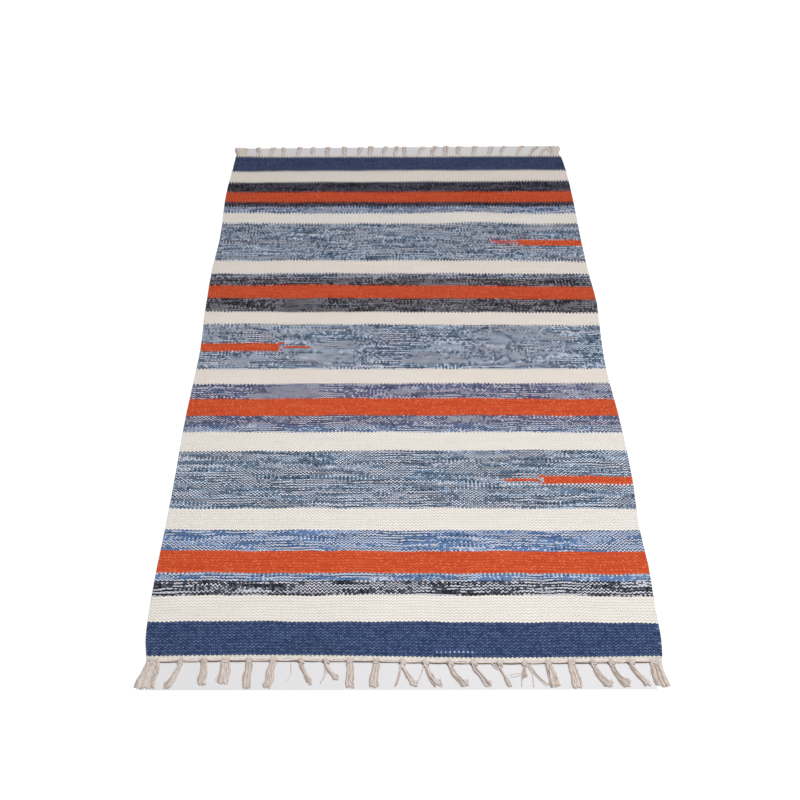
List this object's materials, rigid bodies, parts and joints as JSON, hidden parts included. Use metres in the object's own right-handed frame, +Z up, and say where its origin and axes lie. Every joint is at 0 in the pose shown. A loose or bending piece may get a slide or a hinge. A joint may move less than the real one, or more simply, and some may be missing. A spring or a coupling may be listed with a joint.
{
  "type": "kilim rug",
  "caption": "Flat-woven striped kilim rug lying flat on the floor, with plain selvedges and a comb of knotted tassels along each short end.",
  "frame": {"origin": "on the floor, under the middle of the rug with its fringes", "axes": "+X across the rug to the right, +Y along the warps from the near fringe to the far fringe, +Z up"},
  "size_m": [0.9071, 1.6171, 0.008],
  "materials": {
    "dyed_cotton": "matt weft-faced plain weave in navy, cream, orange, charcoal and mottled blue-grey stripes",
    "raw_cotton": "matt undyed soft-spun cotton warp ends, knotted"
  },
  "bodies": {
    "root": {"woven_field": "dyed_cotton", "near_fringe": "raw_cotton", "far_fringe": "raw_cotton"}
  },
  "joints": []
}
